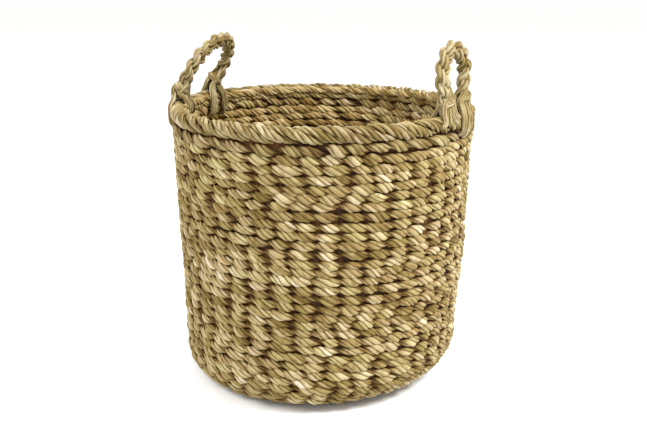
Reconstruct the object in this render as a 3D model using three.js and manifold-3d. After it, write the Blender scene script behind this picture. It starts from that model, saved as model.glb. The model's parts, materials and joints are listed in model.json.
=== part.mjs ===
// Seagrass storage basket: a round basket twined on upright stakes, with a rolled rim border
// and two plaited loop handles that stand on the rim and can be bent inward and outward.
//
// Millimetres, +Z up. The origin is the middle of the underside. The handles are near +X and -X.
//
// The wall has three layers, counted inward from its outer skin: the outer runs of the twined
// weft (one ring for each round), the stakes, and the inner runs of the weft (one shell).

import * as THREE from 'three';
import { mergeVertices } from 'three/addons/utils/BufferGeometryUtils.js';
import Module from 'manifold-3d';

const wasm = await Module();
wasm.setup();

// ---- overall sizes ----
const RIM_RADIUS = 190; // outside of the rim border
const RIM_TOP = 348; // height of the rim's top above the floor
const FOOT_RADIUS = 179; // outside of the wall where it leaves the rounded corner
const CORNER_RADIUS = 46; // rounding between the base and the wall

// ---- wall layers ----
const WEFT_THICKNESS = 5.2; // outer runs of the weft
const STAKE_THICKNESS = 3.7;
const INNER_THICKNESS = 4.3; // inner runs of the weft
const LAYER_GAP = 0.7; // clearance between two layers
const ROUND_GAP = 0.4; // clearance between one round of weft and the next

// ---- weft and stakes ----
const WALL_ROUNDS = 32; // from the base's edge to the border row
const ROUND_CREST = 0.45; // width of a round's crest as a share of its foot
const STAKE_COUNT = 42;
const STAKE_WIDTH = 4.6;
const STAKE_CROSSING_RADIUS = 42; // where the stakes have run together under the base

// ---- rim ----
const RIM_WIDTH = 17; // radial
const RIM_DEPTH = 20; // from the rim's top down
const RIM_ROUNDING = 6;
const BORDER_ROW_HEIGHT = 12.5; // the thick row under the rim border
const BORDER_ROW_PROUD = 1.2; // how far it stands out of the wall

// ---- handles ----
const ROPE_RADIUS = 8.5;
const RIGHT_HANDLE = {
  rise: 83, // top of the handle above the rim's top when it is upright
  span: 56, // between the middles of the two legs
  lean: 0, // degrees that it leans inward at rest
  turn: -5, // degrees round the rim from +X
};
const LEFT_HANDLE = { rise: 93, span: 102, lean: 30, turn: 191 };
const ROOT_WIDTH = 20; // each leg spreads to this width where it wraps over the rim
const ROOT_THICKNESS = 3;
const ROOT_GAP = 0.8; // clearance between a root and the rim or wall under it
const ROOT_INSIDE_DROP = 50; // how far a root reaches down inside the basket
const ROOT_OUTSIDE_DROP = 34;
const FOOT_CLEARANCE = 0.5; // between a leg's round foot and the root under it

// ---- fineness ----
const SIDES = 28; // facets round the basket
const CORNER_STEPS = 6;
const WALL_STEPS = 3;
const ROPE_SIDES = 8;
const LEG_STEPS = 26;

// Facets cut inside a circle, so an inner face is widened by this to keep its clearance.
const FACET_WIDENING = 1 / Math.cos(Math.PI / SIDES);

const STAKE_DEPTH = WEFT_THICKNESS + LAYER_GAP;
const INNER_DEPTH = STAKE_DEPTH + STAKE_THICKNESS + LAYER_GAP;
const WALL_THICKNESS = INNER_DEPTH + INNER_THICKNESS;
const FLAT_RADIUS = FOOT_RADIUS - CORNER_RADIUS;
const RIM_UNDERSIDE = RIM_TOP - RIM_DEPTH;
const WALL_TOP = RIM_UNDERSIDE - BORDER_ROW_HEIGHT;

function seagrass(color, roughness) {
  return new THREE.MeshStandardMaterial({ color, roughness, metalness: 0 });
}

const WEFT_MATERIAL = seagrass(0xc3ad74, 0.82);
const BASE_MATERIAL = seagrass(0xb39c66, 0.84);
const STAKE_MATERIAL = seagrass(0x9c8450, 0.85);
const INNER_MATERIAL = seagrass(0x8f7648, 0.86);
const RIM_MATERIAL = seagrass(0xcdb880, 0.8);
const HANDLE_MATERIAL = seagrass(0xb9a46c, 0.82);

// ---- the outer skin, as a line of radius and height ----
// The base is flat. Its edge rounds up a corner into the wall, which widens to the rim.
function skinCorner() {
  return new THREE.EllipseCurve(
    FLAT_RADIUS, CORNER_RADIUS, CORNER_RADIUS, CORNER_RADIUS, -Math.PI / 2, 0,
  );
}

function skinWall() {
  const belly = new THREE.Vector2(
    FOOT_RADIUS + 0.55 * (RIM_RADIUS - FOOT_RADIUS),
    CORNER_RADIUS + 0.45 * (RIM_TOP - CORNER_RADIUS),
  );
  return new THREE.QuadraticBezierCurve(
    new THREE.Vector2(FOOT_RADIUS, CORNER_RADIUS), belly, new THREE.Vector2(RIM_RADIUS, RIM_TOP),
  );
}

// The share of the wall's length at which it reaches a height.
function wallShareAt(height) {
  const wall = skinWall();
  let low = 0;
  let high = 1;
  for (let step = 0; step < 40; step += 1) {
    const middle = (low + high) / 2;
    if (wall.getPointAt(middle).y < height) low = middle;
    else high = middle;
  }
  return low;
}

function skinRadiusAt(height) {
  return skinWall().getPointAt(wallShareAt(height)).x;
}

// A point at a share of the curve's length, moved inward by a depth.
function inwardPoint(curve, share, depth) {
  const point = curve.getPointAt(share);
  const tangent = curve.getTangentAt(share);
  return new THREE.Vector2(point.x - tangent.y * depth, point.y + tangent.x * depth);
}

// The skin at a depth inward, up the wall to a height, with the corner before it if asked.
function skinPoints(depth, topHeight, withCorner) {
  const points = [];
  if (withCorner) {
    for (let step = 0; step < CORNER_STEPS; step += 1) {
      points.push(inwardPoint(skinCorner(), step / CORNER_STEPS, depth));
    }
  }
  const topShare = wallShareAt(topHeight);
  for (let step = 0; step <= WALL_STEPS; step += 1) {
    points.push(inwardPoint(skinWall(), (topShare * step) / WALL_STEPS, depth));
  }
  points[points.length - 1].y = topHeight;
  return points;
}

// ---- solids ----
function ring(outline) {
  const closed = [...outline, outline[0].clone()];
  return new THREE.LatheGeometry(closed, SIDES);
}

function disc(radius, bottom, top) {
  const outline = [
    new THREE.Vector2(0, bottom),
    new THREE.Vector2(radius, bottom),
    new THREE.Vector2(radius, top),
    new THREE.Vector2(0, top),
  ];
  return new THREE.LatheGeometry(outline, SIDES);
}

function lathed(geometry) {
  return geometry.rotateX(Math.PI / 2);
}

function toSolid(geometry) {
  const bare = geometry.clone();
  bare.deleteAttribute('normal');
  bare.deleteAttribute('uv');
  const merged = mergeVertices(bare, 1e-3);
  return new wasm.Manifold(new wasm.Mesh({
    numProp: 3,
    vertProperties: new Float32Array(merged.attributes.position.array),
    triVerts: new Uint32Array(merged.index.array),
  }));
}

function toGeometry(solid) {
  const mesh = solid.getMesh();
  const geometry = new THREE.BufferGeometry();
  geometry.setAttribute('position', new THREE.BufferAttribute(mesh.vertProperties, 3));
  geometry.setIndex(new THREE.BufferAttribute(mesh.triVerts, 1));
  geometry.computeVertexNormals();
  return geometry;
}

function joined(geometries) {
  let solid = toSolid(geometries[0]);
  for (const geometry of geometries.slice(1)) solid = solid.add(toSolid(geometry));
  return toGeometry(solid);
}

const basket = new THREE.Group();

function addPart(parent, name, geometry, material) {
  const mesh = new THREE.Mesh(geometry, material);
  mesh.name = name;
  parent.add(mesh);
  return mesh;
}

// ---- base ----
function addBase() {
  const radius = FLAT_RADIUS - ROUND_GAP;
  addPart(basket, 'base_weft', lathed(disc(radius, 0, WEFT_THICKNESS)), BASE_MATERIAL);
  const inner = disc(radius, INNER_DEPTH, WALL_THICKNESS);
  addPart(basket, 'base_inner_weft', lathed(inner), INNER_MATERIAL);
}

// ---- stakes: one spoke for each, run together in the middle of the base ----
function stakeSpoke() {
  const outside = skinPoints(STAKE_DEPTH, RIM_UNDERSIDE - ROUND_GAP, true);
  const inside = skinPoints(STAKE_DEPTH + STAKE_THICKNESS, RIM_UNDERSIDE - ROUND_GAP, true);
  const start = STAKE_CROSSING_RADIUS - STAKE_WIDTH;
  const outline = [
    new THREE.Vector2(start, outside[0].y),
    ...outside,
    ...inside.reverse(),
    new THREE.Vector2(start, STAKE_DEPTH + STAKE_THICKNESS),
  ];
  const spoke = new THREE.ExtrudeGeometry(
    new THREE.Shape(outline), { depth: STAKE_WIDTH, bevelEnabled: false },
  );
  return spoke.translate(0, 0, -STAKE_WIDTH / 2).rotateX(Math.PI / 2);
}

function addStakes() {
  const crossing = disc(STAKE_CROSSING_RADIUS, STAKE_DEPTH, STAKE_DEPTH + STAKE_THICKNESS);
  const pieces = [lathed(crossing)];
  for (let index = 0; index < STAKE_COUNT; index += 1) {
    pieces.push(stakeSpoke().rotateZ(((index + 0.5) * 2 * Math.PI) / STAKE_COUNT));
  }
  addPart(basket, 'stakes', joined(pieces), STAKE_MATERIAL);
}

// ---- weft rounds: the outer runs, each a ring with a narrower crest than foot ----
// The rounds crowd together inward where the skin curves, so there the foot is narrowed too.
function weftRound(curve, from, to, height, curvature) {
  const middle = (from + to) / 2;
  const centre = curve.getPointAt(middle);
  const up = curve.getTangentAt(middle);
  const out = new THREE.Vector2(up.y, -up.x);
  const half = height / 2;
  const foot = half * (1 - WEFT_THICKNESS * curvature) - ROUND_GAP / 2;
  const place = (depth, rise) => {
    const point = centre.clone().addScaledVector(out, -depth).addScaledVector(up, rise);
    if (depth > 0) point.x *= FACET_WIDENING;
    return point;
  };
  return ring([
    place(WEFT_THICKNESS, -foot),
    place(0, -half * ROUND_CREST),
    place(0, half * ROUND_CREST),
    place(WEFT_THICKNESS, foot),
  ]);
}

function addWeftRounds() {
  const corner = skinCorner();
  const wall = skinWall();
  const topShare = wallShareAt(WALL_TOP);
  const cornerLength = corner.getLength();
  const wallLength = wall.getLength() * topShare;
  const cornerRounds = Math.round((WALL_ROUNDS * cornerLength) / (cornerLength + wallLength));
  const straightRounds = WALL_ROUNDS - cornerRounds;
  for (let index = 0; index < WALL_ROUNDS; index += 1) {
    const name = `weft_round_${String(index + 1).padStart(2, '0')}`;
    const onCorner = index < cornerRounds;
    const count = onCorner ? cornerRounds : straightRounds;
    const order = onCorner ? index : index - cornerRounds;
    const span = onCorner ? 1 : topShare;
    const height = (onCorner ? cornerLength : wallLength) / count;
    const from = (span * order) / count;
    const round = weftRound(
      onCorner ? corner : wall, from, from + span / count, height, onCorner ? 1 / CORNER_RADIUS : 0,
    );
    addPart(basket, name, lathed(round), WEFT_MATERIAL);
  }
}

// ---- inner weft: the inner runs, as two shells round the corner and one up the wall ----
function innerShell(outside, inside) {
  return lathed(ring([...outside, ...inside.reverse()]));
}

function addInnerWeft() {
  const corner = skinCorner();
  const seam = ROUND_GAP / corner.getLength();
  const places = [['low', 0, 0.5 - seam], ['high', 0.5, 1 - seam]];
  for (const [place, from, to] of places) {
    const sides = [INNER_DEPTH, WALL_THICKNESS].map((depth) => {
      const points = [];
      for (let step = 0; step <= CORNER_STEPS / 2; step += 1) {
        points.push(inwardPoint(corner, from + ((to - from) * step) / (CORNER_STEPS / 2), depth));
      }
      return points;
    });
    addPart(basket, `corner_inner_weft_${place}`, innerShell(...sides), INNER_MATERIAL);
  }
  const wall = [INNER_DEPTH, WALL_THICKNESS].map((depth) => (
    skinPoints(depth, RIM_UNDERSIDE - ROUND_GAP, false)
  ));
  addPart(basket, 'wall_inner_weft', innerShell(...wall), INNER_MATERIAL);
}

// ---- rim: the thick row under it, and the rolled border itself ----
function addRim() {
  // The row's foot follows the slope of the wall, as the round under it does; its top is level.
  const bottom = WALL_TOP + ROUND_GAP;
  const top = RIM_UNDERSIDE - ROUND_GAP;
  const bevel = BORDER_ROW_HEIGHT / 4;
  const sloped = (depth, height) => inwardPoint(skinWall(), wallShareAt(height), depth);
  const level = (depth, height) => new THREE.Vector2(skinRadiusAt(height) - depth, height);
  const row = [
    sloped(WEFT_THICKNESS, bottom),
    sloped(0, bottom),
    sloped(-BORDER_ROW_PROUD, bottom + bevel),
    level(-BORDER_ROW_PROUD, top - bevel),
    level(0, top),
    level(WEFT_THICKNESS, top),
  ];
  row[0].x *= FACET_WIDENING;
  row[row.length - 1].x *= FACET_WIDENING;
  addPart(basket, 'border_row', lathed(ring(row)), RIM_MATERIAL);

  const inside = RIM_RADIUS - RIM_WIDTH;
  const roll = RIM_ROUNDING;
  const border = [
    new THREE.Vector2(inside + roll, RIM_UNDERSIDE),
    new THREE.Vector2(RIM_RADIUS - roll, RIM_UNDERSIDE),
    new THREE.Vector2(RIM_RADIUS, RIM_UNDERSIDE + roll),
    new THREE.Vector2(RIM_RADIUS, RIM_TOP - roll),
    new THREE.Vector2(RIM_RADIUS - roll, RIM_TOP),
    new THREE.Vector2(inside + roll, RIM_TOP),
    new THREE.Vector2(inside, RIM_TOP - roll),
    new THREE.Vector2(inside, RIM_UNDERSIDE + roll),
  ];
  addPart(basket, 'rim_border', lathed(ring(border)), RIM_MATERIAL);
}

// ---- handles ----
// A root clears the rim's inside and the wall's inside, whichever is nearer the middle.
const WALL_INSIDE = skinRadiusAt(RIM_TOP - ROOT_INSIDE_DROP) - WALL_THICKNESS;
const ROOT_INSIDE = Math.min(RIM_RADIUS - RIM_WIDTH, WALL_INSIDE) / FACET_WIDENING - ROOT_GAP;
const ROOT_OUTSIDE = RIM_RADIUS + BORDER_ROW_PROUD + ROOT_GAP;
const ROOT_MIDDLE = (ROOT_INSIDE + ROOT_OUTSIDE) / 2;
const ROOT_TOP = RIM_TOP + ROOT_GAP + ROOT_THICKNESS;
const HINGE_HEIGHT = ROOT_TOP + FOOT_CLEARANCE + ROPE_RADIUS;

// A root hangs over the rim like a strap, down the inside and the outside.
function handleRoot() {
  const bevel = ROOT_THICKNESS;
  const under = RIM_TOP + ROOT_GAP;
  const outline = [
    new THREE.Vector2(ROOT_INSIDE, RIM_TOP - ROOT_INSIDE_DROP),
    new THREE.Vector2(ROOT_INSIDE, under),
    new THREE.Vector2(ROOT_OUTSIDE, under),
    new THREE.Vector2(ROOT_OUTSIDE, RIM_TOP - ROOT_OUTSIDE_DROP),
    new THREE.Vector2(ROOT_OUTSIDE + ROOT_THICKNESS, RIM_TOP - ROOT_OUTSIDE_DROP),
    new THREE.Vector2(ROOT_OUTSIDE + ROOT_THICKNESS, ROOT_TOP - bevel),
    new THREE.Vector2(ROOT_OUTSIDE + ROOT_THICKNESS - bevel, ROOT_TOP),
    new THREE.Vector2(ROOT_INSIDE - ROOT_THICKNESS + bevel, ROOT_TOP),
    new THREE.Vector2(ROOT_INSIDE - ROOT_THICKNESS, ROOT_TOP - bevel),
    new THREE.Vector2(ROOT_INSIDE - ROOT_THICKNESS, RIM_TOP - ROOT_INSIDE_DROP),
  ];
  const strap = new THREE.ExtrudeGeometry(
    new THREE.Shape(outline.reverse()), { depth: ROOT_WIDTH, bevelEnabled: false },
  );
  return strap.translate(0, 0, -ROOT_WIDTH / 2).rotateX(Math.PI / 2);
}

// A loop from one foot up, over and down to the other, in the YZ plane about the hinge line.
function handlePath(span, rise) {
  const reach = span / 2;
  const crown = RIM_TOP + rise - ROPE_RADIUS - HINGE_HEIGHT;
  const shoulder = crown - Math.min(reach, 0.75 * crown);
  const path = new THREE.CurvePath();
  path.add(new THREE.LineCurve3(
    new THREE.Vector3(0, -reach, 0), new THREE.Vector3(0, -reach, shoulder),
  ));
  const bend = 0.5523; // control distance that makes a cubic curve a quarter round
  path.add(new THREE.CubicBezierCurve3(
    new THREE.Vector3(0, -reach, shoulder),
    new THREE.Vector3(0, -reach, shoulder + bend * (crown - shoulder)),
    new THREE.Vector3(0, -bend * reach, crown),
    new THREE.Vector3(0, 0, crown),
  ));
  path.add(new THREE.CubicBezierCurve3(
    new THREE.Vector3(0, 0, crown),
    new THREE.Vector3(0, bend * reach, crown),
    new THREE.Vector3(0, reach, shoulder + bend * (crown - shoulder)),
    new THREE.Vector3(0, reach, shoulder),
  ));
  path.add(new THREE.LineCurve3(
    new THREE.Vector3(0, reach, shoulder), new THREE.Vector3(0, reach, 0),
  ));
  return path;
}

function handleLoop(span, rise) {
  const section = new THREE.Shape();
  section.absarc(0, 0, ROPE_RADIUS, 0, 2 * Math.PI);
  const rope = new THREE.ExtrudeGeometry(section, {
    extrudePath: handlePath(span, rise),
    steps: LEG_STEPS,
    curveSegments: ROPE_SIDES,
    bevelEnabled: false,
  });
  const feet = [-1, 1].map((side) => {
    const foot = new THREE.SphereGeometry(ROPE_RADIUS, ROPE_SIDES, ROPE_SIDES);
    return foot.rotateX(Math.PI / 2).translate(0, (side * span) / 2, 0);
  });
  return joined([rope, ...feet]);
}

function addHandle(side, { rise, span, lean, turn }) {
  const spread = Math.asin(span / 2 / ROOT_MIDDLE);
  const quarter = new THREE.Group();
  quarter.rotation.z = THREE.MathUtils.degToRad(turn);
  basket.add(quarter);
  const front = side === 'right' ? -1 : 1; // the direction round the rim that leads to the front
  for (const [end, sign] of [['front', front], ['back', -front]]) {
    const root = addPart(quarter, `${side}_handle_root_${end}`, handleRoot(), HANDLE_MATERIAL);
    root.rotation.z = sign * spread;
  }
  const loop = addPart(quarter, `${side}_handle`, handleLoop(span, rise), HANDLE_MATERIAL);
  loop.position.set(ROOT_MIDDLE * Math.cos(spread), 0, HINGE_HEIGHT);
  loop.rotation.y = -THREE.MathUtils.degToRad(lean);
}

addBase();
addStakes();
addWeftRounds();
addInnerWeft();
addRim();
addHandle('right', RIGHT_HANDLE);
addHandle('left', LEFT_HANDLE);

export default basket;
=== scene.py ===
"""The looks of a twined seagrass storage basket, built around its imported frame.

Every strand is real geometry: a bundle of four blades, swept along the path that it takes in
the weave. All lengths are metres, in the frame's own axes.
"""

import json
import math

import bpy
import numpy as np
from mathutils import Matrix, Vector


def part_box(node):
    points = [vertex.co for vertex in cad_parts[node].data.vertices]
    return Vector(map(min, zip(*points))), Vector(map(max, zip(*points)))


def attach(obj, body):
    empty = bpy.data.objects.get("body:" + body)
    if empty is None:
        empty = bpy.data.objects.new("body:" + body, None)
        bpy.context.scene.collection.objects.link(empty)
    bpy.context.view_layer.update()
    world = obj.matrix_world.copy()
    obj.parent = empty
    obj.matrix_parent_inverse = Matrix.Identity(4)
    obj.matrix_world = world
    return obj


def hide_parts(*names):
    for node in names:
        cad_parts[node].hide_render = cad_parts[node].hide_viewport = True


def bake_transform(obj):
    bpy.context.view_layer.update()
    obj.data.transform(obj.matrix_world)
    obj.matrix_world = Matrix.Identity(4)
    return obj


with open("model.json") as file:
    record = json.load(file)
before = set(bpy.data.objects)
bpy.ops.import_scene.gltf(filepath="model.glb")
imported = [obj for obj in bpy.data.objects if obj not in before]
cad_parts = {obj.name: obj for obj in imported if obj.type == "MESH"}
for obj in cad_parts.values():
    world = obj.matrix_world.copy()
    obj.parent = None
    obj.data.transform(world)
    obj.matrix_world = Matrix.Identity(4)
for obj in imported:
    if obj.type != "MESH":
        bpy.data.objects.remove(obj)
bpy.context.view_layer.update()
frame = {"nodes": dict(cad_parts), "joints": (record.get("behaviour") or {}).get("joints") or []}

TURN = 2 * math.pi
MM = 0.001

# ---- sizes that the frame gives ----
RIM_LOW, RIM_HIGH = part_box("rim_border")
RIM_RADIUS = RIM_HIGH.x
RIM_TOP = RIM_HIGH.z
RIM_UNDERSIDE = RIM_LOW.z
ROW_LOW, ROW_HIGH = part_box("border_row")
FLAT_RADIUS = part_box("base_weft")[1].x
BASE_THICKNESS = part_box("base_inner_weft")[1].z
ROUND_NODES = sorted(name for name in frame["nodes"] if name.startswith("weft_round_"))
FOOT_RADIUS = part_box("corner_inner_weft_high")[1].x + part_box("base_inner_weft")[0].z

# ---- sizes of the weave ----
STAKES = 42
STAKE_THICKNESS = 2.6 * MM
STAKE_SHARE = 1.25  # how far each stake's blades spread, over the way to the next stake
STAKE_DEPTH = 0.53 * BASE_THICKNESS  # how deep the stakes stand in the wall
STAKE_TWIST = 0.10  # how far round the stakes lean between the base and the rim
BASE_ROUNDS = 12
CORNER_SWING = 12 * MM  # the corner is rounder on one side than on the other
LEAN = 4 * MM  # the base stands this far to one side of the rim
VIEW_AZIMUTH = math.radians(30)
VIEW_RIGHT = VIEW_AZIMUTH  # direction round the basket that is to the camera's right
BLADES = 4
BLADE_POINTS = 6
BLADE_WIDTHS = (1.25, 0.75, 1.15, 0.85)  # a strand's blades are not equally wide
STITCH_STEPS = 16
BLADE_LEAD = 38 * MM  # a weft strand's blades go once round it in this length


# ---- smooth seeded variation ----
def waves(seed, count, cycles, climbs):
    """A smooth function of angle and height, from about -1 to 1, that closes round the basket."""
    rng = np.random.default_rng(seed)
    turns = rng.integers(1, cycles + 1, count) * rng.choice([-1, 1], count)
    rises = rng.uniform(-climbs, climbs, count)
    phases = rng.uniform(0, TURN, count)
    sizes = 1 / np.sqrt(np.abs(turns))
    sizes /= np.sqrt(0.5 * np.sum(sizes ** 2)) * 1.6

    def value(angle, height):
        total = 0
        for turn, rise, phase, size in zip(turns, rises, phases, sizes):
            total = total + size * np.sin(turn * angle + rise * height + phase)
        return total

    return value


def knots(rng, count, places, closed=True):
    """Random values from -1 to 1, one at each whole number, joined smoothly at the places asked."""
    values = rng.uniform(-1, 1, count + (0 if closed else 2))
    low = np.floor(places).astype(int)
    part = places - low
    part = part * part * (3 - 2 * part)
    size = len(values)
    return values[low % size] * (1 - part) + values[(low + 1) % size] * part


STAKE_WANDER = waves(11, 7, 5, 12)
ROW_WANDER = waves(12, 9, 6, 14)
WALL_BULGE = waves(13, 6, 4, 9)


# ---- the wall's skin ----
def corner_radius(angle):
    mean = FOOT_RADIUS - FLAT_RADIUS
    return mean + CORNER_SWING * np.cos(angle - VIEW_RIGHT)


def skin(row, angle, depth):
    """Points, outward normals and upward tangents of the weave at a row number and an angle.

    Rows below 0 lie in the base, from its middle out. Rows from 0 up climb the corner and wall.
    """
    row, angle = np.broadcast_arrays(np.asarray(row, float), angle)
    bend = corner_radius(angle)
    flat = FOOT_RADIUS - bend
    wall_foot = bend
    wall_length = ROW_LOW.z - wall_foot
    corner_length = bend * TURN / 4
    run = row / len(ROUND_NODES) * (corner_length + wall_length)

    turn = np.clip(run / bend, 0, TURN / 4)
    radius = flat * (1 + np.minimum(row, 0) / BASE_ROUNDS) + bend * np.sin(turn)
    height = bend * (1 - np.cos(turn))

    climb = np.maximum(run - corner_length, 0)
    share = climb / (RIM_TOP - wall_foot)
    flare = RIM_RADIUS - FOOT_RADIUS
    radius = radius + flare * share * (1.25 - 0.25 * share)
    height = height + climb
    slope = np.where(climb > 0, flare * (1.25 - 0.5 * share) / (RIM_TOP - wall_foot), 0)

    up_out = np.cos(turn) + slope
    up_rise = np.sin(turn)
    scale = np.hypot(up_out, up_rise)
    up_out, up_rise = up_out / scale, up_rise / scale

    bulge = 1.6 * MM * WALL_BULGE(angle, height * 4) * np.clip(height / 0.05, 0, 1)
    radius = radius - depth * up_rise + bulge
    height = height + depth * up_out
    spoke = np.stack([np.cos(angle), np.sin(angle), np.zeros_like(angle)], -1)
    lift = np.array([0.0, 0.0, 1.0])
    point = spoke * radius[..., None] + lift * height[..., None]
    side = np.array([math.cos(VIEW_RIGHT), math.sin(VIEW_RIGHT), 0])
    point = point - side * (LEAN * (1 - height / RIM_TOP))[..., None]
    outward = spoke * up_rise[..., None] - lift * up_out[..., None]
    upward = spoke * up_out[..., None] + lift * up_rise[..., None]
    return point, outward, upward


def row_at(height, angle):
    """The row number at which the wall reaches a height."""
    bend = corner_radius(angle)
    corner_length = bend * TURN / 4
    wall_length = ROW_LOW.z - bend
    return len(ROUND_NODES) * (corner_length + height - bend) / (corner_length + wall_length)


def stake_angle(number, row, count=STAKES):
    """The angle round the basket of a stake, or of a place between two, at a row number."""
    even = TURN * (np.asarray(number, float) + 0.5) / count
    height = np.clip(row, 0, None) / len(ROUND_NODES)
    lean = STAKE_TWIST * (height - 1)
    return even + lean + 0.045 * STAKE_WANDER(even, height * 4)


# ---- swept strands ----
def unit(vectors):
    return vectors / np.linalg.norm(vectors, axis=-1, keepdims=True)


def blade_profile(depth):
    """How far a strand's section reaches at each of its points: round backs between creases."""
    place = np.arange(BLADE_POINTS) / BLADE_POINTS
    back = np.sin(np.pi * place) ** 0.7
    return np.tile(1 - depth * (1 - back), BLADES), np.tile(1 - back, BLADES)


def sweep(centre, outward, closed, half_out, half_across, twist, crease=0.42):
    """Rings of points round a centreline. Twist turns the blades round it."""
    if closed:
        tangent = unit(np.roll(centre, -1, 0) - np.roll(centre, 1, 0))
    else:
        tangent = unit(np.gradient(centre, axis=0))
    outward = unit(outward - tangent * np.sum(outward * tangent, -1, keepdims=True))
    across = np.cross(tangent, outward)
    profile, _ = blade_profile(crease)
    widths = np.repeat(BLADE_WIDTHS, BLADE_POINTS)
    angle = TURN * (np.cumsum(widths) - widths) / widths.sum() + np.asarray(twist)[:, None]
    out = np.cos(angle) * profile * np.asarray(half_out)[:, None]
    aside = np.sin(angle) * profile * np.asarray(half_across)[:, None]
    return centre[:, None] + out[..., None] * outward[:, None] + aside[..., None] * across[:, None]


class Weave:
    """Gathers swept strands into one mesh, with each blade's tone and grain on its points."""

    def __init__(self):
        self.points = []
        self.faces = []
        self.blades = []
        self.grain = []
        self.count = 0

    def add(self, rings, closed, rng, places, depth=None):
        """Adds one strand. Places are its stitch numbers, which the blades' colours follow.

        Depth says how far out of the weave each point lies: 1 on the outside, -1 on the inside.
        In the rim and the plaits it goes from 0 at the core to 1 at the surface instead. The
        material paints shade and light from it.
        """
        steps, around = rings.shape[:2]
        index = np.arange(steps * around).reshape(steps, around) + self.count
        ahead = np.roll(index, -1, 0)
        if not closed:
            ahead, index = ahead[:-1], index[:-1]
        beside, beside_ahead = np.roll(index, -1, 1), np.roll(ahead, -1, 1)
        self.faces.append(np.stack([index, beside, beside_ahead, ahead], -1).reshape(-1, 4))
        if not closed:
            self.cap(rings[0], self.count, False)
            self.cap(rings[-1], self.count + (steps - 1) * around, True)
        self.points.append(rings.reshape(-1, 3))
        if depth is None:
            depth = np.ones((steps, around))
        self.blades.append(self.colours(depth, closed, rng, places).reshape(-1, 4))
        self.grain.append(self.fibres(rings, rng).reshape(-1, 3))
        self.count += steps * around

    def cap(self, ring, first, far):
        """Closes a strand's end with a strip of quads across it."""
        half = len(ring) // 2
        for step in range(half - 1):
            corners = [step, len(ring) - 1 - step, len(ring) - 2 - step, step + 1]
            quad = np.array([first + corner for corner in corners])
            self.faces.append((quad[::-1] if far else quad)[None])

    @staticmethod
    def colours(depth, closed, rng, places):
        """Tone, tint, crease and depth of each point: stitches differ, and blades in them. Crease
        and depth are the masks of the material's painted shade and light.
        """
        steps, around = depth.shape
        last = int(np.ceil(places.max())) + 2
        tone, tint = np.zeros((steps, around)), np.zeros((steps, around))
        stitch = knots(rng, last, places, closed)
        stitch_hue = knots(rng, last, places, closed)
        for blade in range(BLADES):
            part = slice(blade * BLADE_POINTS, (blade + 1) * BLADE_POINTS)
            slow = knots(rng, max(last // 4, 2), places / 4 + rng.uniform(), closed)
            quick = knots(rng, last, places + 0.5, closed)
            hue = knots(rng, max(last // 2, 2), places / 2 + rng.uniform(), closed)
            tone[:, part] = (0.5 * stitch + 0.3 * slow + 0.55 * quick)[:, None]
            tint[:, part] = (0.6 * stitch_hue + 0.5 * hue)[:, None]
        crease = np.broadcast_to(blade_profile(0)[1], (steps, around))
        return np.stack([tone * 0.5 + 0.5, tint * 0.5 + 0.5, crease, depth * 0.5 + 0.5], -1)

    @staticmethod
    def fibres(rings, rng):
        """Distance along the strand, place round it and a number of its own, for the grain."""
        middle = rings.mean(1)
        steps = np.linalg.norm(np.diff(middle, axis=0), axis=-1)
        along = np.concatenate([[0], np.cumsum(steps)])
        around = np.arange(rings.shape[1]) / rings.shape[1]
        shape = rings.shape[:2]
        return np.stack([
            np.broadcast_to(along[:, None], shape),
            np.broadcast_to(around[None], shape),
            np.full(shape, rng.uniform(0, 50)),
        ], -1)

    def build(self, name):
        points = np.concatenate(self.points)
        faces = np.concatenate(self.faces)
        mesh = bpy.data.meshes.new(name)
        mesh.vertices.add(len(points))
        mesh.vertices.foreach_set("co", points.astype(np.float32).ravel())
        mesh.loops.add(faces.size)
        mesh.loops.foreach_set("vertex_index", faces.astype(np.int32).ravel())
        mesh.polygons.add(len(faces))
        mesh.polygons.foreach_set("loop_start", np.arange(0, faces.size, 4, dtype=np.int32))
        mesh.polygons.foreach_set("use_smooth", np.ones(len(faces), bool))
        blade = mesh.attributes.new("blade", "FLOAT_COLOR", "POINT")
        blade.data.foreach_set("color", np.concatenate(self.blades).astype(np.float32).ravel())
        grain = mesh.attributes.new("grain", "FLOAT_VECTOR", "POINT")
        grain.data.foreach_set("vector", np.concatenate(self.grain).astype(np.float32).ravel())
        mesh.update()
        mesh.validate()
        piece = bpy.data.objects.new(name, mesh)
        bpy.context.scene.collection.objects.link(piece)
        return piece


def finish_piece(piece, material, body, nodes=()):
    """Gives a piece its material, the CAD nodes it stands for and the body it rides."""
    piece.data.materials.append(material)
    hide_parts(*nodes)
    if body:
        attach(piece, body)
    return piece


# ---- materials ----
def link(tree, source, target):
    tree.links.new(source, target)


def node(tree, kind, **settings):
    made = tree.nodes.new(kind)
    for key, value in settings.items():
        setattr(made, key, value)
    return made


def math_node(tree, operation, first, second):
    made = node(tree, "ShaderNodeMath", operation=operation)
    for socket, value in zip(made.inputs, (first, second)):
        if isinstance(value, (int, float)):
            socket.default_value = value
        else:
            link(tree, value, socket)
    return made.outputs[0]


def ramp(tree, factor, stops):
    made = node(tree, "ShaderNodeValToRGB")
    elements = made.color_ramp.elements
    while len(elements) < len(stops):
        elements.new(0.5)
    for element, (place, colour) in zip(elements, stops):
        element.position = place
        element.color = (*colour, 1)
    link(tree, factor, made.inputs["Fac"])
    return made.outputs["Color"]


def mix(tree, blend, factor, first, second):
    made = node(tree, "ShaderNodeMix", data_type="RGBA", blend_type=blend)
    sockets = made.inputs[0], made.inputs[6], made.inputs[7]  # a colour mix's factor, A and B
    for socket, value in zip(sockets, (factor, first, second)):
        if isinstance(value, (int, float)):
            socket.default_value = value
        elif isinstance(value, tuple):
            socket.default_value = (*value, 1)
        else:
            link(tree, value, socket)
    return made.outputs[2]


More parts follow.
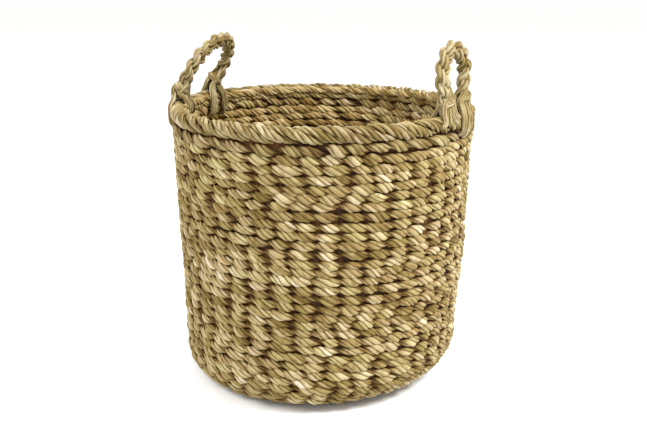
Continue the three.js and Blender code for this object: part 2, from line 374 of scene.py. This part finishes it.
def noise(tree, vector, scale, detail, stretch):
    """Noise over the grain. Stretch scales it along the strand, round it and between strands."""
    mapping = node(tree, "ShaderNodeMapping")
    mapping.inputs["Scale"].default_value = stretch
    link(tree, vector, mapping.inputs["Vector"])
    made = node(tree, "ShaderNodeTexNoise")
    made.inputs["Scale"].default_value = scale
    made.inputs["Detail"].default_value = detail
    link(tree, mapping.outputs[0], made.inputs["Vector"])
    return made.outputs["Fac"]


def seagrass(name, tint_and_painted_shade):
    """Dried seagrass: straw to khaki blades with fibres and stains, with painted shade in the
    creases and gaps, painted light on the weave's inner face and a faint painted highlight on its
    outer crests.
    """
    material = bpy.data.materials.new(name)
    material.use_nodes = True
    tree = material.node_tree
    shader = tree.nodes["Principled BSDF"]
    blade = node(tree, "ShaderNodeAttribute", attribute_name="blade")
    grain = node(tree, "ShaderNodeAttribute", attribute_name="grain")
    parts = node(tree, "ShaderNodeSeparateColor")
    link(tree, blade.outputs["Color"], parts.inputs["Color"])
    tone, tint, crease = parts.outputs[0], parts.outputs[1], parts.outputs[2]

    fibres = noise(tree, grain.outputs["Vector"], 1, 3, (60, 60, 1))
    blotches = noise(tree, grain.outputs["Vector"], 1, 3, (130, 5, 1))
    streak = math_node(tree, "MULTIPLY", math_node(tree, "SUBTRACT", fibres, 0.5), 0.6)
    straw = ramp(tree, math_node(tree, "ADD", tone, streak), [
        (0.0, (0.105, 0.062, 0.012)),
        (0.25, (0.200, 0.140, 0.042)),
        (0.5, (0.292, 0.224, 0.096)),
        (0.78, (0.400, 0.328, 0.176)),
        (1.0, (0.520, 0.458, 0.320)),
    ])
    hues = ramp(tree, tint, [
        (0.0, (0.93, 1.0, 0.80)),
        (0.3, (0.99, 1.0, 0.92)),
        (0.6, (1.0, 0.99, 0.98)),
        (0.85, (1.0, 0.97, 1.02)),
        (1.0, (1.0, 0.86, 0.68)),
    ])
    tinted = mix(tree, "MULTIPLY", 1.0, straw, hues)
    stain = ramp(tree, blotches, [(0.34, (0.55, 0.44, 0.27)), (0.5, (1.03, 1.03, 1.03))])
    stained = mix(tree, "MULTIPLY", 0.75, tinted, stain)
    # Painted shade: each blade darkens towards the crease between it and the next, where shade
    # falls.
    shadow = ramp(tree, crease, [(0.35, (1, 1, 1)), (1.0, (0.34, 0.22, 0.06))])
    creased = mix(tree, "MULTIPLY", 0.95, stained, shadow)
    # Painted light and shade, by how far out of the weave a point lies: darkest at mid-depth in the
    # gaps and under the rounds' edges, lighter on the inner face, and a faint bluish painted
    # highlight on the outermost crests.
    gaps = ramp(tree, blade.outputs["Alpha"], [
        (0.0, (1.34, 1.28, 1.22)),
        (0.2, (1.12, 1.03, 0.92)),
        (0.36, (0.60, 0.49, 0.32)),
        (0.5, (0.17, 0.085, 0.01)),
        (0.74, (0.52, 0.42, 0.26)),
        (0.85, (0.94, 0.91, 0.85)),
        (0.95, (1.08, 1.09, 1.14)),
    ])
    shaded = mix(tree, "MULTIPLY", 1.0, creased, gaps)
    # The material's own tint, which for the rim and the stakes is also painted shade.
    lit = mix(tree, "MULTIPLY", 1.0, shaded, tint_and_painted_shade)
    link(tree, lit, shader.inputs["Base Color"])

    rough = node(tree, "ShaderNodeMapRange")
    rough.inputs["To Min"].default_value = 0.5
    rough.inputs["To Max"].default_value = 0.78
    link(tree, fibres, rough.inputs["Value"])
    link(tree, rough.outputs["Result"], shader.inputs["Roughness"])
    bump = node(tree, "ShaderNodeBump")
    bump.inputs["Strength"].default_value = 0.6
    bump.inputs["Distance"].default_value = 0.5 * MM
    link(tree, fibres, bump.inputs["Height"])
    link(tree, bump.outputs["Normal"], shader.inputs["Normal"])
    shader.inputs["Specular IOR Level"].default_value = 0.14
    return material


WEFT = seagrass("seagrass_weft", (0.97, 0.98, 1.03))
# The stakes show only in the gaps, so their darker, browner tint is painted shade there.
STAKE = seagrass("seagrass_stake", (0.9, 0.8, 0.7))
# The rim's darker tint is painted shade that holds back the direct light on its top; the border row
# shares it.
RIM = seagrass("seagrass_rim", (0.82, 0.83, 0.86))
HANDLE = seagrass("seagrass_handle", (0.84, 0.86, 0.92))


# ---- twined rounds ----
def twined_round(weave, row, seed, stitches, steps, sizes, amplitude, slant, inset=0.0):
    """Two strands that cross between the stakes and pass on either side of each one.

    Sizes are half a strand's thickness and half its height where it passes a stake. The inset
    moves the round towards the inside.
    """
    half_out, half_high = sizes
    rng = np.random.default_rng(seed)
    places = np.arange(stitches * steps) / steps
    angle = stake_angle(places, row, stitches)
    point, outward, upward = skin(row, angle, STAKE_DEPTH + inset)
    wander = 1.3 * MM * ROW_WANDER(angle, row / len(ROUND_NODES) * 4)
    wander = wander + 0.7 * MM * knots(rng, stitches, places)
    radius = np.hypot(point[:, 0], point[:, 1]).mean()
    turns = max(round(TURN * radius / BLADE_LEAD), 2)
    for strand in range(2):
        phase = math.pi * (places + strand + 0.20 * knots(rng, stitches, places + 0.5))
        fullness = 1 + 0.15 * knots(rng, stitches, places)
        fullness = fullness + 0.10 * knots(rng, stitches, places + 0.5)
        loose = 1 + 0.16 * knots(rng, stitches, places)
        out = amplitude * np.cos(phase) * loose
        rise = -slant * np.sin(phase) * (1 + 0.6 * knots(rng, stitches, places)) + wander
        front = np.abs(np.cos(phase))
        high = half_high * (0.48 + 0.52 * front) * fullness
        thick = half_out * (1.15 - 0.15 * front) * fullness
        twist = TURN * turns * places / stitches + rng.uniform(0, TURN)
        twist = twist + 1.5 * knots(rng, stitches // 2, places / 2)
        centre = point + outward * out[:, None] + upward * rise[:, None]
        rings = sweep(centre, outward, True, thick, high, twist)
        # How far out of the round each point lies: the mask of the material's painted shade in the
        # gaps, painted light on the inner face and painted highlight on the crests.
        reach = np.sum((rings - point[:, None]) * outward[:, None], -1) - inset
        weave.add(rings, True, rng, places, np.clip(reach / (amplitude + half_out), -1, 1))


def build_wall():
    for number, name in enumerate(ROUND_NODES):
        weave = Weave()
        twined_round(
            weave, number + 0.5, 100 + number, STAKES, STITCH_STEPS,
            (3.5 * MM, 6.6 * MM), 4.3 * MM, 0.9 * MM, 1.3 * MM * max(0, 1 - number / 4),
        )
        piece = weave.build("twined_" + name.removeprefix("weft_"))
        finish_piece(piece, WEFT, "basket", [name])


def build_border_row():
    """The thick row under the rim, and two rows that line the rim on its inner side."""
    weave = Weave()
    even = TURN * np.arange(STAKES * STITCH_STEPS) / STAKES / STITCH_STEPS
    row = row_at((ROW_LOW.z + ROW_HIGH.z) / 2, even)
    twined_round(
        weave, row, 90, STAKES, STITCH_STEPS, (3.8 * MM, 6.2 * MM), 5.0 * MM, 2.6 * MM,
    )
    row = row_at(RIM_UNDERSIDE + 4.5 * MM, even)
    twined_round(
        weave, row, 91, STAKES, STITCH_STEPS, (2.8 * MM, 5.2 * MM), 2.5 * MM, 1.9 * MM, 5 * MM,
    )
    row = row_at(RIM_TOP - 8.5 * MM, even)
    twined_round(
        weave, row, 92, STAKES, STITCH_STEPS, (2.6 * MM, 4.6 * MM), 2.2 * MM, 1.9 * MM, 8.5 * MM,
    )
    piece = weave.build("twined_border_row")
    finish_piece(piece, RIM, "basket", ["border_row"])


def build_base():
    weave = Weave()
    for number in range(BASE_ROUNDS):
        share = (number + 0.5) / BASE_ROUNDS
        stitches = 14 if share < 0.34 else 28 if share < 0.67 else STAKES
        twined_round(
            weave, number + 0.5 - BASE_ROUNDS, 60 + number, stitches, 8,
            (2.8 * MM, 5.4 * MM), 4.2 * MM, 2.2 * MM, 0.9 * MM,
        )
    piece = weave.build("twined_base")
    finish_piece(piece, WEFT, "basket", ["base_weft", "base_inner_weft"])


def build_stakes():
    """Thin cords that stand in the wall and run together under the base. Their blades spread wide
    enough to back the gaps between the rounds, and their colour is painted shade: the darkest stop
    of the gap ramp all along.
    """
    weave = Weave()
    for number in range(STAKES):
        rng = np.random.default_rng(700 + number)
        top = row_at(RIM_TOP - 12 * MM, TURN * number / STAKES)
        rows = np.linspace(0.25 - BASE_ROUNDS, top, 90)
        angle = stake_angle(number, rows)
        point, outward, _ = skin(rows, angle, STAKE_DEPTH)
        spacing = TURN * np.hypot(point[:, 0], point[:, 1]) / STAKES
        wide = STAKE_SHARE * spacing / 2 * (1 + 0.08 * knots(rng, 30, rows + BASE_ROUNDS))
        thick = np.full(len(rows), STAKE_THICKNESS / 2)
        twist = np.full(len(rows), TURN / 2 / BLADES)
        rings = sweep(point, outward, False, thick, wide, twist, 0.15)
        # Depth 0 at every point gives the stakes the darkest painted shade of the gaps.
        weave.add(rings, False, rng, np.arange(len(rows)) / 3, np.zeros(rings.shape[:2]))
    piece = weave.build("stakes_seagrass")
    nodes = ["stakes", "wall_inner_weft", "corner_inner_weft_low", "corner_inner_weft_high"]
    finish_piece(piece, STAKE, "basket", nodes)


# ---- rim border ----
RIM_STRANDS = 3
RIM_TURNS = 14
RIM_BLADE_TURNS = 18
RIM_HALF_WIDE = 8.5 * MM


def build_rim():
    """The stakes' ends, laid round the rim like the strands of a rope."""
    weave = Weave()
    middle = (RIM_LOW.z + RIM_HIGH.z) / 2
    half_deep = (RIM_HIGH.z - RIM_LOW.z) / 2 + 0.6 * MM
    steps = 720
    around = TURN * np.arange(steps) / steps
    places = np.arange(steps) / steps * STAKES
    spoke = np.stack([np.cos(around), np.sin(around), np.zeros(steps)], -1)
    lift = np.array([0.0, 0.0, 1.0])
    radius = RIM_RADIUS - RIM_HALF_WIDE + 1.2 * MM * WALL_BULGE(around, RIM_TOP * 4)
    height = middle + 0.8 * MM * ROW_WANDER(around, 5)
    core = spoke * radius[:, None] + lift * height[:, None]
    for strand in range(RIM_STRANDS):
        rng = np.random.default_rng(300 + strand)
        lay = -RIM_TURNS * around + TURN * strand / RIM_STRANDS + 0.16 * knots(rng, STAKES, places)
        loose = 1 + 0.07 * knots(rng, STAKES, places)
        facing = spoke * np.cos(lay)[:, None] + lift * np.sin(lay)[:, None]
        out = (RIM_HALF_WIDE - 4.6 * MM) * np.cos(lay) * loose
        rise = (half_deep - 5.2 * MM) * np.sin(lay) * loose
        centre = core + spoke * out[:, None] + lift * rise[:, None]
        fullness = 1 + 0.18 * knots(rng, STAKES, places)
        twist = RIM_BLADE_TURNS * around + rng.uniform(0, TURN)
        twist = twist + 0.4 * knots(rng, STAKES // 2, places / 2)
        rings = sweep(centre, facing, True, 4.9 * MM * fullness, 5.7 * MM * fullness, twist, 0.5)
        offset = rings - core[:, None]
        aside = np.sum(offset * spoke[:, None], -1) / RIM_HALF_WIDE
        reach = np.hypot(aside, offset[..., 2] / half_deep)
        # Mask of painted shade: 0 in the valleys between the rim's strands, which the material
        # paints dark, up to 1 on their backs.
        weave.add(rings, True, rng, places, np.clip(2.2 * (reach - 0.42), 0, 1))
    piece = weave.build("rolled_rim")
    finish_piece(piece, RIM, "basket", ["rim_border"])


# ---- handles ----
# Each loop stands on the rim: rise above the rim's top when upright, span between its legs, lean
# inward at rest, pinch, how far the two legs are drawn in at the foot, and skew, how far the crown
# leans towards the hinge line's start, which is the front on the right handle.
# Known fault: the plait gives the first pinch to the leg at the hinge line's start, and the roots
# give it to the front leg. These are the same leg on the right handle and not on the left.
LOOPS = {
    "right": {
        "rise": 83 * MM, "span": 56 * MM, "lean": 0.0,
        "pinch": (12 * MM, 4 * MM), "skew": 5 * MM, "seed": 410,
    },
    "left": {
        "rise": 93 * MM, "span": 102 * MM, "lean": math.radians(30),
        "pinch": (0.0, 8 * MM), "skew": 0.0, "seed": 430,
    },
}
ROOT_DROPS = {  # how far each root reaches down inside and outside
    ("right", "front"): (19 * MM, 11 * MM),
    ("right", "back"): (21 * MM, 34 * MM),
    ("left", "front"): (22 * MM, 34 * MM),
    ("left", "back"): (36 * MM, 18 * MM),
}
ROOT_BLADES = 7  # on each side of the wall
WRAPS = 3  # blades bound round each root
ROPE_RADIUS = 8.5 * MM
PLAIT_LEAD = 48 * MM  # a strand of the plait goes from side to side and back in this length


def smooth_line(corners, count):
    """A curve through the corners, with even steps along it."""
    corners = np.asarray(corners, float)
    padded = np.vstack([2 * corners[0] - corners[1], corners, 2 * corners[-1] - corners[-2]])
    spans = []
    part = np.linspace(0, 1, 24, endpoint=False)[:, None]
    for before, first, second, after in zip(padded, padded[1:], padded[2:], padded[3:]):
        spans.append(0.5 * (
            2 * first + (second - before) * part
            + (2 * before - 5 * first + 4 * second - after) * part ** 2
            + (3 * first - before - 3 * second + after) * part ** 3
        ))
    line = np.vstack([*spans, corners[-1:]])
    length = np.concatenate([[0], np.cumsum(np.linalg.norm(np.diff(line, axis=0), axis=-1))])
    even = np.linspace(0, length[-1], count)
    return np.stack([np.interp(even, length, line[:, axis]) for axis in range(3)], -1)


class Loop:
    """Where a handle stands: its hinge line, and its directions along, outward and upward."""

    def __init__(self, side):
        size = LOOPS[side]
        joint = next(joint for joint in frame["joints"] if joint["name"] == side + "_handle_bend")
        self.side = side
        self.seed = size["seed"]
        self.body = joint["child"]
        self.hinge = np.array(joint["pos_m"], float)
        self.along = unit(np.array(joint["axis"], float))
        outward = np.cross(self.along, [0, 0, 1])
        lift = np.array([0.0, 0.0, 1.0])
        self.rise = lift * math.cos(size["lean"]) - outward * math.sin(size["lean"])
        self.facing = np.cross(self.along, self.rise)
        self.reach = size["span"] / 2
        self.pinch = size["pinch"]
        self.skew = size["skew"]
        self.crown = RIM_TOP + size["rise"] - ROPE_RADIUS - 2 * MM - self.hinge[2]

    def place(self, along, rise):
        along, rise = np.asarray(along)[..., None], np.asarray(rise)[..., None]
        return self.hinge + self.along * along + self.rise * rise

    def path(self, count):
        """The plait's centreline, over the crown from the foot at the hinge line's start."""
        shoulder = self.crown - min(self.reach, 0.75 * self.crown)
        turn = np.linspace(math.pi, 0, 9)
        along = self.reach * np.cos(turn) - self.skew * np.sin(turn) ** 2
        rise = shoulder + (self.crown - shoulder) * np.sin(turn)
        low, half = -13 * MM, shoulder / 2
        first, last = self.reach - self.pinch[0], self.reach - self.pinch[1]
        first_leg = [-first, -(first + self.reach) / 2]
        last_leg = [(last + self.reach) / 2, last]
        along = np.concatenate([first_leg, along, last_leg])
        rise = np.concatenate([[low, half], rise, [half, low]])
        return smooth_line(self.place(along, rise), count)

    def wrap(self, foot, rng):
        """A blade bound round a leg at its foot, with both ends tucked in."""
        turn = rng.uniform(0, TURN) + np.linspace(0, rng.uniform(0.6, 1.0) * TURN, 36)
        tuck = 1 - 0.75 * np.abs(np.linspace(-1, 1, 36)) ** 4
        aside = self.along * (np.cos(turn) * tuck * 9.5 * MM)[:, None]
        out = self.facing * (np.sin(turn) * tuck * 8.0 * MM)[:, None]
        low, tilt = rng.uniform(-1, 9) * MM, rng.uniform(2, 5) * MM
        height = low + tilt * np.cos(turn - 0.8)
        return foot + aside + out + self.rise * height[:, None]

    def blend(self, piece):
        """Bakes the piece's placement into its mesh."""
        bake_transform(piece)


def build_plait(loop):
    """Three strands plaited flat, each crossing from one edge of the plait to the other."""
    weave = Weave()
    line = loop.path(260)
    tangent = unit(np.gradient(line, axis=0))
    sideways = np.cross(tangent, loop.facing)
    length = np.concatenate([[0], np.cumsum(np.linalg.norm(np.diff(line, axis=0), axis=-1))])
    share = length / length[-1]
    width = 4.2 * MM + 1.0 * MM * np.sin(math.pi * share)
    waver = waves(loop.seed, 4, 3, 3)
    swerve = 1.0 * MM * waver(TURN * share, 0.0) * np.sin(math.pi * share)
    line = line + sideways * swerve[:, None]
    for strand in range(3):
        rng = np.random.default_rng(loop.seed + strand)
        places = length / (PLAIT_LEAD / 3)
        phase = TURN * (length / PLAIT_LEAD + strand / 3)
        loose = 1 + 0.10 * knots(rng, int(places[-1]) + 2, places, False)
        across = width * np.sin(phase) * loose
        depth = 3.0 * MM * np.sin(2 * phase) * loose
        centre = line + sideways * across[:, None] + loop.facing * depth[:, None]
        fullness = 1 + 0.10 * knots(rng, int(places[-1]) + 2, places, False)
        twist = TURN * length / (45 * MM) + rng.uniform(0, TURN)
        rings = sweep(
            centre, loop.facing, False, 4.7 * MM * fullness, 5.3 * MM * fullness, twist, 0.5,
        )
        # Mask of painted shade: points near the plait's core, between its strands, get the
        # material's dark painted shade.
        reach = np.linalg.norm(rings - line[:, None], axis=-1) / (8.0 * MM)
        weave.add(rings, False, rng, places, np.clip(reach * 1.5 - 0.35, 0, 1))
    piece = weave.build("plait_" + loop.side)
    finish_piece(piece, HANDLE, None, [loop.side + "_handle"])
    loop.blend(piece)


def root_line(loop, foot, start, spread, slant, inside, drop):
    """The way of one blade: down a leg, over the rim and down the wall, where it is tucked in."""
    angle = math.atan2(foot[1], foot[0])
    middle = math.hypot(foot[0], foot[1])
    sign = -1 if inside else 1
    edge = RIM_HALF_WIDE + 1.6 * MM
    below = drop - 5 * MM

    def rim_place(out, aside, height):
        turn = angle + aside / middle
        radius = middle + sign * out
        return np.array([radius * math.cos(turn), radius * math.sin(turn), height])

    def leg_place(rise, aside, out):
        return foot + loop.rise * rise + loop.along * aside + loop.facing * sign * out

    return smooth_line([
        leg_place(start, 0.14 * spread, 3.0 * MM),
        leg_place(0.5 * start, 0.34 * spread, 5.0 * MM),
        leg_place(0, 0.66 * spread, 4.6 * MM),
        rim_place(0.68 * edge, 0.78 * spread + 0.3 * slant, RIM_TOP + 3.0 * MM),
        rim_place(edge, 0.92 * spread + 0.6 * slant, RIM_TOP - 5 * MM),
        rim_place(edge + 0.6 * MM, spread + 0.8 * slant, RIM_TOP - 5 * MM - 0.45 * below),
        rim_place(edge - 0.4 * MM, 1.04 * spread + slant, RIM_TOP - 5 * MM - 0.8 * below),
        rim_place(edge - 5.5 * MM, 1.05 * spread + slant, RIM_TOP - drop),
    ], 72)


def build_roots(loop):
    """Each leg's blades spread over the rim, some down the inside and some down the outside."""
    toward_front = -1 if loop.side == "right" else 1
    for end, sign in (("front", toward_front), ("back", -toward_front)):
        weave = Weave()
        pinch = loop.pinch[0] if end == "front" else loop.pinch[1]
        foot = loop.place(sign * (loop.reach - pinch), 0.0)
        rng = np.random.default_rng(loop.seed + 10 + sign)
        inner_drop, outer_drop = ROOT_DROPS[loop.side, end]
        for inside, longest in ((True, inner_drop), (False, outer_drop)):
            for number in range(ROOT_BLADES):
                share = number / (ROOT_BLADES - 1) * 2 - 1
                spread = share * 17 * MM + rng.uniform(-4, 4) * MM
                drop = longest * rng.uniform(0.62, 1.0)
                start, slant = rng.uniform(11, 22) * MM, rng.uniform(-10, 10) * MM
                line = root_line(loop, foot, start, spread, slant, inside, drop)
                core = np.append(foot[:2], RIM_TOP - 12 * MM)
                outward = unit(line - core)
                full = np.sin(np.pi * np.linspace(0.12, 0.93, len(line))) ** 0.35
                wide = rng.uniform(3.0, 4.0) * MM * full
                thick = rng.uniform(1.9, 2.7) * MM * full
                twist = rng.uniform(0, TURN) + np.linspace(0, rng.uniform(1.0, 3.0), len(line))
                rings = sweep(line, outward, False, thick, wide, twist, crease=0.30)
                weave.add(rings, False, rng, np.linspace(0, 3, len(line)))
        for _ in range(WRAPS):
            wrap = loop.wrap(foot, rng)
            wide = np.full(len(wrap), rng.uniform(3.2, 4.4) * MM)
            twist = np.linspace(0, rng.uniform(1.0, 3.0), len(wrap))
            rings = sweep(wrap, unit(wrap - foot), False, 0.5 * wide, wide, twist, 0.30)
            weave.add(rings, False, rng, np.linspace(0, 3, len(wrap)))
        piece = weave.build(f"blades_{loop.side}_{end}")
        node_name = f"{loop.side}_handle_root_{end}"
        finish_piece(piece, HANDLE, None, [node_name])
        loop.blend(piece)


# ---- camera, light and floor ----
CAMERA_DISTANCE = 1.070  # level distance from the basket's middle
CAMERA_HEIGHT = 0.5046
CAMERA_DOWN = 15.8  # degrees that it looks down


def build_camera():
    camera = bpy.data.objects.new("camera", bpy.data.cameras.new("camera"))
    bpy.context.scene.collection.objects.link(camera)
    right, back = math.sin(VIEW_AZIMUTH), -math.cos(VIEW_AZIMUTH)
    camera.location = (CAMERA_DISTANCE * right, CAMERA_DISTANCE * back, CAMERA_HEIGHT)
    camera.rotation_euler = (math.radians(90 - CAMERA_DOWN), 0, VIEW_AZIMUTH)
    camera.data.sensor_width = 36
    camera.data.lens = 47.3
    camera.data.clip_end = 100
    bpy.context.scene.camera = camera


def build_light(name, azimuth, elevation, distance, size, power):
    lamp = bpy.data.lights.new(name, "AREA")
    lamp.size = size
    lamp.energy = power
    light = bpy.data.objects.new(name, lamp)
    bpy.context.scene.collection.objects.link(light)
    flat = distance * math.cos(elevation)
    height = distance * math.sin(elevation)
    light.location = (flat * math.sin(azimuth), -flat * math.cos(azimuth), height)
    light.rotation_euler = (TURN / 4 - elevation, 0, azimuth)


def build_studio():
    scene = bpy.context.scene
    scene.view_settings.view_transform = "Standard"
    world = bpy.data.worlds.new("studio")
    world.use_nodes = True
    world.node_tree.nodes["Background"].inputs["Color"].default_value = (1, 1, 1, 1)
    world.node_tree.nodes["Background"].inputs["Strength"].default_value = 1.06
    scene.world = world
    build_light("key", VIEW_AZIMUTH + math.radians(60), math.radians(50), 1.9, 0.6, 44)
    build_light("fill", VIEW_AZIMUTH - math.radians(62), math.radians(45), 2.2, 1.0, 30)

    reach = 30
    mesh = bpy.data.meshes.new("floor")
    corners = [(-reach, -reach, 0), (reach, -reach, 0), (reach, reach, 0), (-reach, reach, 0)]
    mesh.from_pydata(corners, [], [(0, 1, 2, 3)])
    floor = bpy.data.objects.new("floor", mesh)
    scene.collection.objects.link(floor)
    material = bpy.data.materials.new("floor_paper")
    material.use_nodes = True
    shader = material.node_tree.nodes["Principled BSDF"]
    shader.inputs["Base Color"].default_value = (0.93, 0.93, 0.92, 1)
    shader.inputs["Roughness"].default_value = 0.9
    mesh.materials.append(material)


build_camera()
build_studio()
build_wall()
build_border_row()
build_base()
build_stakes()
build_rim()
for side in LOOPS:
    build_plait(Loop(side))
    build_roots(Loop(side))
